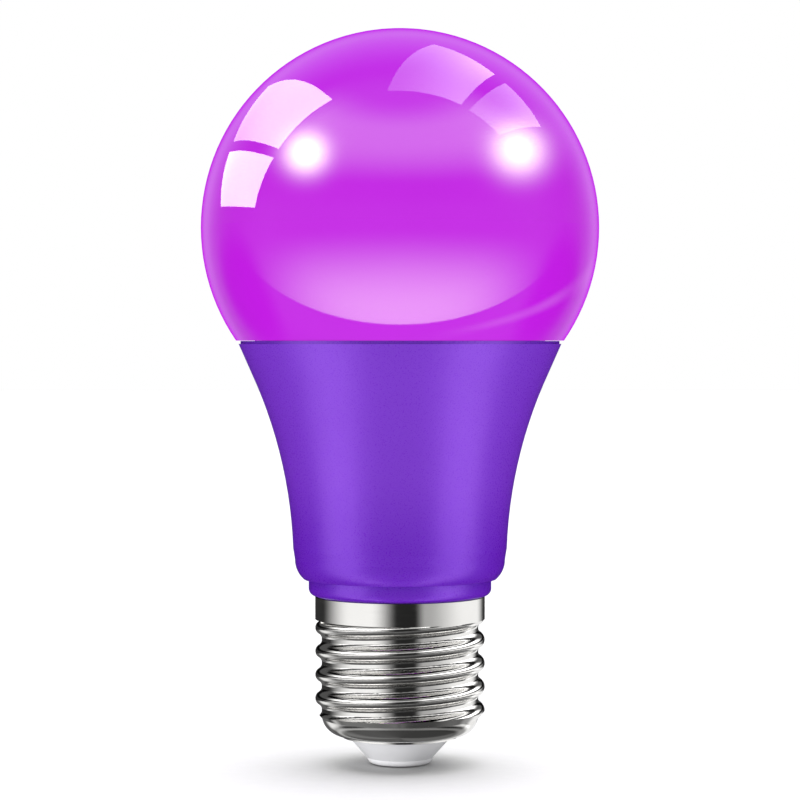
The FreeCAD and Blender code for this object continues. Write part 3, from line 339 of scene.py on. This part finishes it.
def tent(name, paint, receivers, centre, reach, tint=(1, 1, 1), rows=24, columns=48):
    """A tent of light all round its receivers, painted by direction."""
    material, tree, glow = clear_glow(name)
    way = vector_node(tree, "NORMALIZE", object_place(tree))
    tree.links.new(paint(tree, way), glow.inputs["Strength"])
    glow.inputs["Color"].default_value = (*tint, 1)
    points, faces = [], []
    for row in range(rows + 1):
        for column in range(columns):
            points.append(direction(360 * column / columns, 180 * row / rows - 90) * reach)
            if row < rows:
                here, after = row * columns + column, row * columns + (column + 1) % columns
                faces.append((here, after, after + columns, here + columns))
    return reflector(name, points, faces, material, receivers, centre=centre)


def toward(tree, way, azimuth, elevation):
    """Cosine of the angle between a direction and a place round the bulb."""
    return vector_node(tree, "DOT_PRODUCT", way, tuple(direction(azimuth, elevation)), output="Value")


def paint_for_globe(tree, way):
    """Grey room, a band and two lamps above, and a glowing table in front with a thin sliver beside it.

    The table ends in a sharp line, where the dark base begins."""
    split = parts_of(tree, way)
    right, rise, front = split["X"], split["Z"], product(tree, split["Y"], -1.0)
    both_sides = joined(tree, math_node(tree, "ABSOLUTE", right), split["Y"], rise)
    room = product(
        tree,
        ramp(tree, front, -0.35, 0.25, 0.27, 0.55),
        ramp(tree, toward(tree, both_sides, 112, -21), 0.90, 0.985, 1.0, 0.15),
        ramp(tree, rise, 0.10, 0.30, 1.0, 0.75),
    )
    table = product(
        tree,
        ramp(tree, rise, -0.02, -0.82, 0.0, 7.2),
        ramp(tree, front, -0.20, 0.72, 0.0, 1.0),
        ramp(tree, toward(tree, way, 180, -48.6), 0.270, 0.292, 1.0, 0.0),
    )
    band = product(
        tree,
        ramp(tree, rise, 0.36, 0.72, 0.0, 2.9),
        ramp(tree, rise, 0.80, 0.97, 1.0, 0.12),
        ramp(tree, front, -0.20, 0.25, 0.0, 1.0),
    )
    sliver = product(
        tree,
        ramp(tree, distance_from(tree, toward(tree, way, 0, 58), -0.53), 0.0, 0.055, 0.95, 0.0),
        ramp(tree, front, 0.45, 0.10, 0.0, 1.0),
        ramp(tree, front, -0.25, -0.70, 1.0, 0.15),
        ramp(tree, right, 0.0, 0.35, 0.0, 1.0),
    )
    left_lamp = glow_spot(tree, way, -64, 35, 34, 0.088)
    right_lamp = glow_spot(tree, way, 83, 33, 26, 0.108)
    return total(tree, room, table, band, sliver, left_lamp, right_lamp)


def paint_for_rim(tree, way):
    """Light from behind, which shows along the globe's edge."""
    return ramp(tree, toward(tree, way, 180, 25), 0.45, 0.92, 0.0, 0.74)


def glow_spot(tree, way, azimuth, elevation, strength, size):
    """A lamp that fades outwards, shaped so that a ball seen from the front shows a round spot."""
    front = direction(0, 0)
    aim = (direction(azimuth, elevation) + front).normalized()
    half = vector_node(tree, "NORMALIZE", vector_node(tree, "ADD", way, tuple(front)))
    flat = vector_node(tree, "MULTIPLY", half, (1, 0, 1))
    off = vector_node(tree, "DISTANCE", flat, (aim.x, 0, aim.z), output="Value")
    off = math_node(tree, "DIVIDE", off, size)
    return product(tree, math_node(tree, "EXPONENT", product(tree, off, off, -1.0)), strength)


def turn_and_rise(tree, way):
    """A direction's angle from the front, to the right, and the sine of its elevation."""
    split = parts_of(tree, way)
    return math_node(tree, "ARCTAN2", split["X"], product(tree, split["Y"], -1.0)), split["Z"]


def paint_for_shell(tree, way):
    """Two white walls with a dark gap between them in front, banded light low behind, black overhead.

    Dark lines cross the walls, which are brighter above and below the cap's level than on it."""
    turn, rise = turn_and_rise(tree, way)
    aside = math_node(tree, "ABSOLUTE", turn)
    off_level = distance_from(tree, rise, -0.1)
    left = product(
        tree,
        ramp(tree, turn, -0.05, -0.70, 0.01, 1.1),
        ramp(tree, turn, -1.20, -2.25, 1.0, 0.02),
    )
    right = product(
        tree,
        ramp(tree, turn, 0.34, 0.62, 0.0, 1.0),
        ramp(tree, turn, 0.6, 1.7, 0.45, 1.05),
        ramp(tree, turn, 2.2, 2.7, 1.0, 0.02),
    )
    front = product(
        tree,
        ramp(tree, aside, 1.2, 2.2, 1.0, 0.0),
        ramp(tree, off_level, 0.08, 0.26, 0.0, 0.20),
    )
    lines = math_node(tree, "SINE", math_node(tree, "MULTIPLY_ADD", rise, 15.0, 3.1))
    walls = product(
        tree,
        total(tree, left, right, front, 0.010),
        ramp(tree, rise, 0.50, 0.80, 1.0, 0.0),
        ramp(tree, rise, -0.52, -0.25, 0.0, 1.0),
        ramp(tree, lines, -0.7, 0.2, 0.02, 1.0),
        ramp(tree, off_level, 0.05, 0.22, 1.0, 2.8),
    )
    bands = math_node(tree, "SINE", math_node(tree, "MULTIPLY_ADD", turn, 4.0, -2.7))
    behind = product(
        tree,
        ramp(tree, aside, 1.7, 2.2, 0.0, 1.0),
        ramp(tree, rise, -0.15, -0.24, 0.0, 0.95),
        ramp(tree, rise, -0.42, -0.60, 1.0, 0.10),
        ramp(tree, bands, -0.7, 0.4, 0.12, 1.0),
    )
    glint = total(
        tree,
        ramp(tree, distance_from(tree, rise, -0.60), 0.0, 0.09, 0.50, 0.0),
        ramp(tree, rise, -0.60, -0.74, 0.0, 0.10),
    )
    return total(tree, walls, behind, product(tree, glint, ramp(tree, turn, -1.1, 0.5, 1.0, 0.5)))


def paint_for_housing(tree, way):
    """Dim room with two tall soft boxes, front left and front right."""
    turn, rise = turn_and_rise(tree, way)
    aside = math_node(tree, "ABSOLUTE", turn)
    boxes = product(
        tree,
        ramp(tree, aside, 0.46, 1.00, 0.0, 1.0),
        ramp(tree, aside, 1.22, 1.78, 1.0, 0.0),
        ramp(tree, rise, -0.7, 0.0, 3.4, 4.2),
    )
    room = product(
        tree,
        ramp(tree, rise, -0.65, -0.1, 0.40, 0.05),
        ramp(tree, aside, 1.2, 2.0, 1.0, 0.2),
    )
    return total(tree, room, boxes)


def paint_for_others(tree, way):
    """Plain soft room, brighter above."""
    return ramp(tree, toward(tree, way, 0, 90), -0.8, 0.9, 0.10, 0.55)


def mirrored_at(far, reach, rounds=12):
    """The place, at that reach from the globe's middle, that EYE sees mirrored where it would see far.

    Each round brings the mirroring spot closer to the one that has far and the eye at equal angles."""
    eye = EYE - GLOBE_CENTRE
    spot = far.normalized() * GLOBE_RADIUS
    for step in range(rounds):
        spot = ((far - spot).normalized() + (eye - spot).normalized()).normalized() * GLOBE_RADIUS
    ray = (far - spot).normalized()
    along = spot.dot(ray)
    return spot + ray * (math.sqrt(along ** 2 + reach ** 2 - GLOBE_RADIUS ** 2) - along)


def window_pane(name, corners, near, far, steps=8):
    """A lit pane close to the globe, mirrored as one at WINDOW_DISTANCE, with those corners, would be.

    That holds for EYE. In the side view a close pane leaves a thin line, where a distant one would spread.
    Its light runs from near to far strength."""
    first, second, third, fourth = (direction(*corner) for corner in corners)
    points, faces, falloff = [], [], []
    for row in range(steps + 1):
        left, right = first.lerp(fourth, row / steps), second.lerp(third, row / steps)
        for column in range(steps + 1):
            way = left.lerp(right, column / steps).normalized()
            points.append(mirrored_at(way * WINDOW_DISTANCE, WINDOW_REACH))
            falloff.append(1 - column / steps)
            if row < steps and column < steps:
                at = row * (steps + 1) + column
                faces.append((at, at + 1, at + steps + 2, at + steps + 1))
    material, tree, glow = clear_glow(name)
    fall = node(tree, "ShaderNodeAttribute", attribute_name="falloff").outputs["Fac"]
    tree.links.new(ramp(tree, fall, 0, 1, far, near), glow.inputs["Strength"])
    return reflector(name, points, faces, material, ["globe"], falloff)


def make_reflectors():
    """What the bulb's glossy surfaces mirror: tents for each finish, and window panes in the globe.

    Each tent has a reach of its own, so that no two of them lie in the same place."""
    metals = ["screw_shell", "centre_contact"]
    others = [name for name in frame["nodes"] if name not in ("globe", "housing", *metals)]
    tent("globe_tent", paint_for_globe, ["globe"], GLOBE_CENTRE, 1.2, (0.90, 1.0, 0.55))
    tent("rim_tent", paint_for_rim, ["globe"], GLOBE_CENTRE, 1.3, (0.90, 0.46, 1.2))
    tent("shell_tent", paint_for_shell, metals, SHELL_CENTRE, 1.4)
    tent("housing_tent", paint_for_housing, ["housing"], SHELL_CENTRE, 1.6, (0.72, 0.40, 1.0))
    tent("plain_tent", paint_for_others, others, GLOBE_CENTRE, 1.8)
    window_pane("left_window_high", [(-154, 27), (-83, 62), (-87, 33), (-137, 21)], 2.6, 11.5)
    window_pane("left_window_low", [(-135, 19), (-87, 29), (-90, 8), (-124, 7)], 6.5, 13)
    window_pane("right_window_high", [(168, 49), (140, 47), (70, 62), (-29, 79)], 1.6, 4.2)
    window_pane("right_window_low", [(135, 45), (119, 33), (77, 42), (71, 58)], 2.2, 3.4)


def make_floor():
    """Plain pale floor, left out of reflections so that they show the studio."""
    reach = 3.0
    corners = [(-reach, -reach, 0), (reach, -reach, 0), (reach, reach, 0), (-reach, reach, 0)]
    mesh = bpy.data.meshes.new("floor")
    mesh.from_pydata(corners, [], [(0, 1, 2, 3)])
    mesh.materials.append(moulded("floor_paper", (0.50, 0.50, 0.50), 0.9, 800, 2e-6, 0.995))
    floor = bpy.data.objects.new("floor", mesh)
    floor.location.z = CAD_BOX[0][2]
    bpy.context.scene.collection.objects.link(floor)
    floor.visible_glossy = floor.visible_shadow = False
    return floor


def linked_light(name, kind, azimuth, elevation, distance, power, receivers, blockers=None):
    """A light that looks at the cap and lights only its receivers."""
    lamp = bpy.data.lights.new(name, kind)
    lamp.energy = power
    light = bpy.data.objects.new(name, lamp)
    away = direction(azimuth, elevation)
    light.location = SHELL_CENTRE + away * distance
    light.rotation_euler = away.to_track_quat("Z", "Y").to_euler()
    light.visible_camera = light.visible_glossy = False
    bpy.context.scene.collection.objects.link(light)
    lights_only(light, receivers, blockers)
    return light


def make_lights(floor):
    """A wide light overhead, for the cap's shadow on the floor, and a small one on the nose's left."""
    cap = [frame["nodes"][name] for name in ("screw_shell", "insulator", "centre_contact")]
    overhead = linked_light("overhead", "SUN", 162, 70, 1.0, 5.0, [floor], cap)
    overhead.data.angle = math.radians(88)
    side = linked_light("nose_side", "AREA", -50, 5, 0.3, 0.6, [frame["nodes"]["insulator"]])
    side.data.size = 0.12


def make_camera():
    """Level camera at the seam's height, framed as in a catalogue picture, with the bulb in the middle."""
    camera = bpy.data.objects.new("camera", bpy.data.cameras.new("camera"))
    camera.location = EYE
    camera.rotation_euler = (math.radians(90), 0, 0)
    camera.data.sensor_width = 36.0
    camera.data.lens = 119.4
    camera.data.shift_y = -0.0738
    camera.data.clip_start, camera.data.clip_end = 0.01, 20
    bpy.context.scene.collection.objects.link(camera)
    bpy.context.scene.camera = camera


bpy.context.scene.view_settings.view_transform = "Standard"
dress_nodes()
make_world()
make_reflectors()
make_lights(make_floor())
make_camera()
